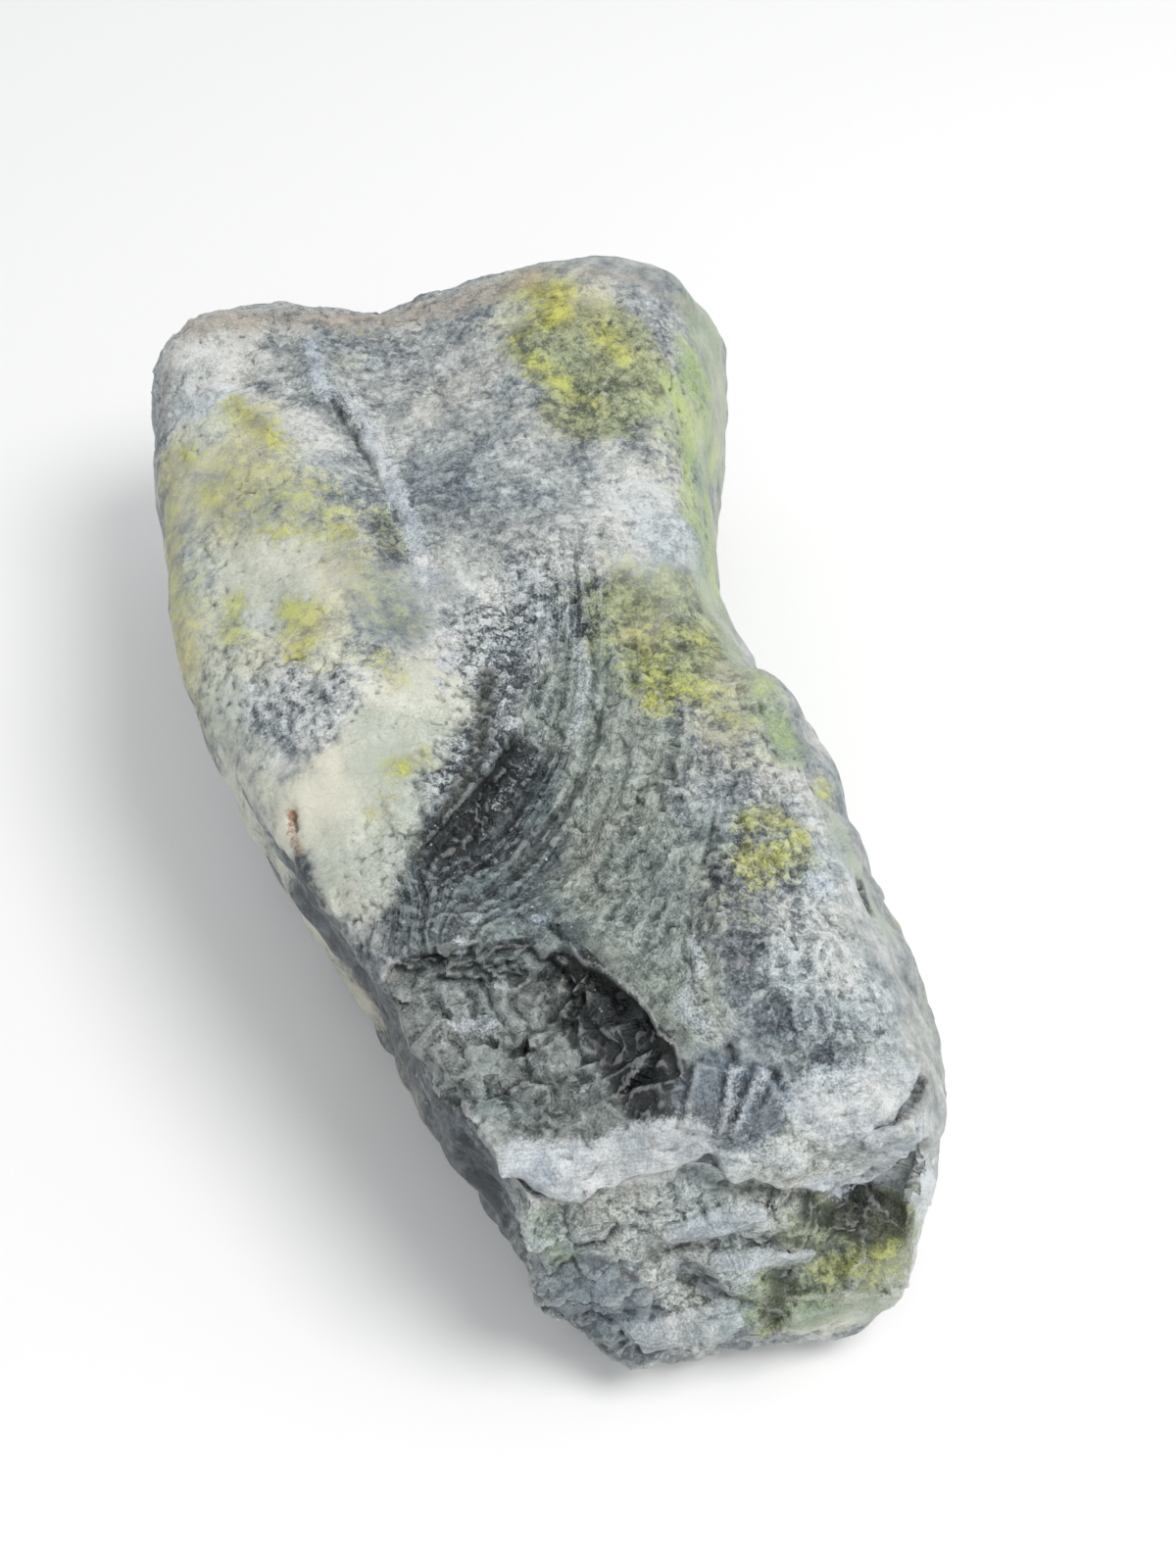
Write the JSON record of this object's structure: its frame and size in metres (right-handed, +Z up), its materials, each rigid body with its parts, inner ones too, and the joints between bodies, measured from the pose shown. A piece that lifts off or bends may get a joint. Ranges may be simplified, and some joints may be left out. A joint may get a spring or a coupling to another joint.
{
  "type": "raw soapstone block",
  "caption": "Unworked, elongated natural stone with a tumbled wide end, a broken narrow end and a flat underside; raw stock for carving or a display stone.",
  "frame": {"origin": "on the ground at the middle of the stone's footprint, under the centre of its bounding box", "axes": "+Z up from the flat underside, +Y along the stone from the broken narrow end to the rounded wide end, +X across it to the side with the waist"},
  "size_m": [0.126, 0.223, 0.0714],
  "materials": {
    "soapstone": "matt to waxy natural soapstone: mottled grey and grey-green with white talc flecks, dark green chlorite bands and yellow-olive crust"
  },
  "bodies": {
    "root": {"soapstone_block": "soapstone"}
  },
  "joints": []
}
